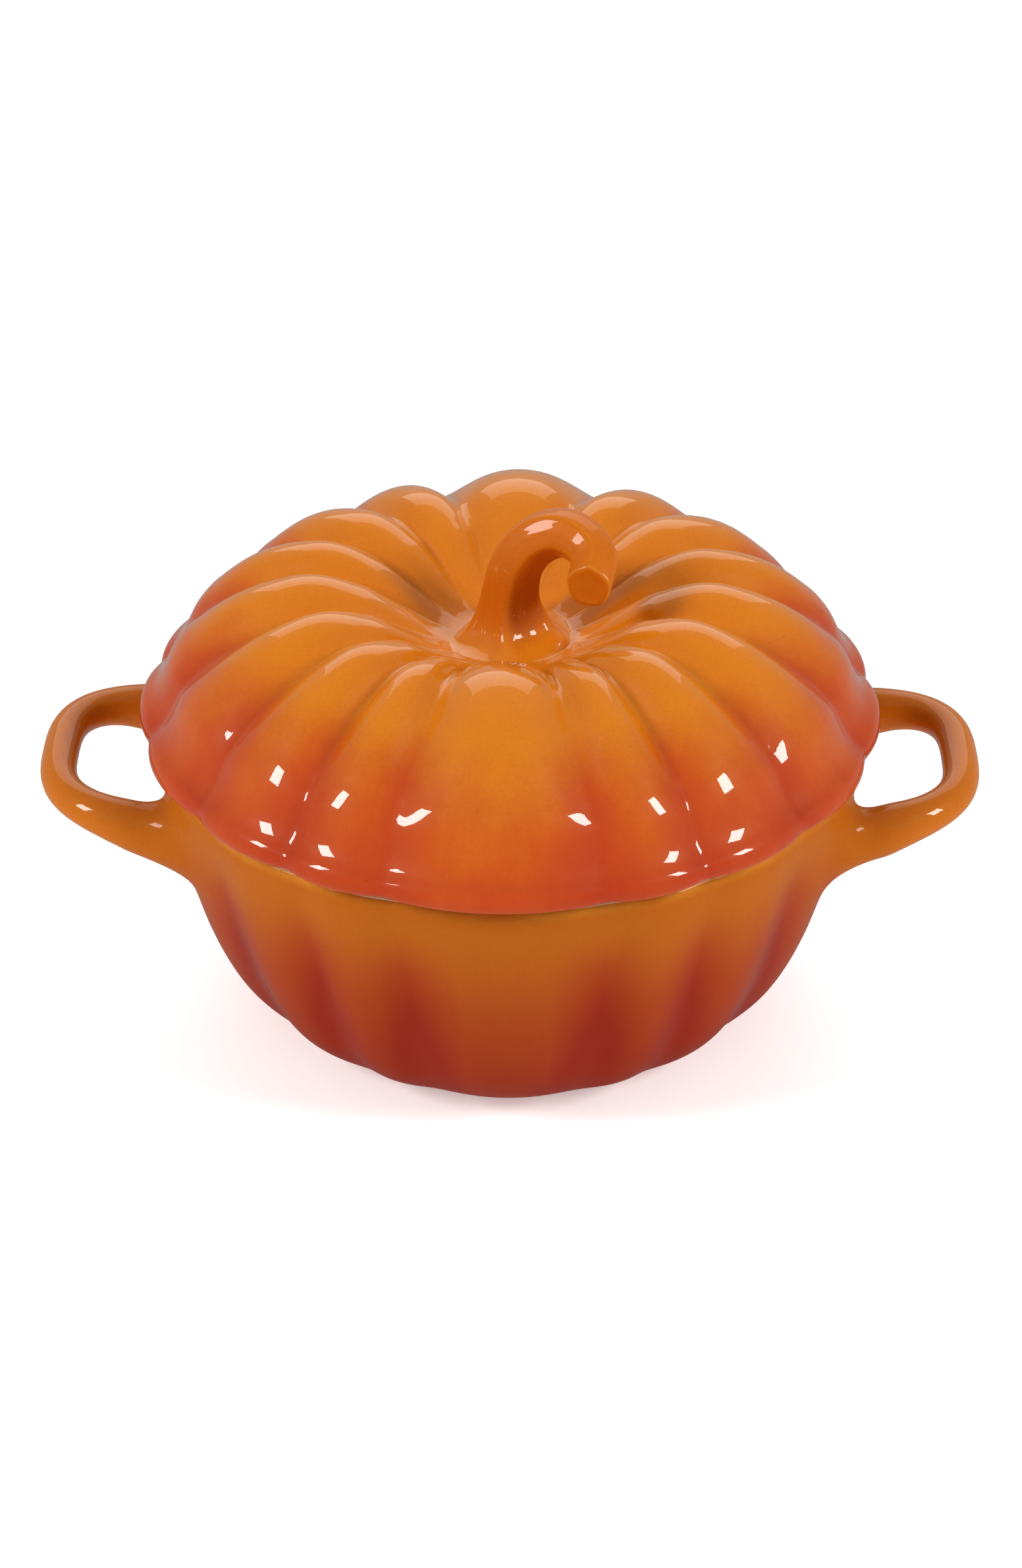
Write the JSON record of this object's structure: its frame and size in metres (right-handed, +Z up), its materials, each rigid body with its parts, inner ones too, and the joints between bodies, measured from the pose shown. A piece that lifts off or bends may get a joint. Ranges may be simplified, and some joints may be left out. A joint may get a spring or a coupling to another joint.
{
  "type": "pumpkin-shaped covered casserole",
  "caption": "Round lobed stoneware casserole with loop handles at the sides and a lobed lid whose knob is a curled pumpkin stem.",
  "frame": {"origin": "middle of the foot, on the surface that the dish stands on", "axes": "+X through the handles, -Y towards the front, +Z up"},
  "size_m": [0.2134, 0.1689, 0.1237],
  "materials": {
    "bowl_glaze": "gloss glaze shading from amber at the rim to brick red at the foot, cream inside",
    "lid_glaze": "high gloss glaze shading from amber orange on the crown to vermilion at the lip"
  },
  "bodies": {
    "root": {"bowl": "bowl_glaze", "lid": "lid_glaze"}
  },
  "joints": []
}
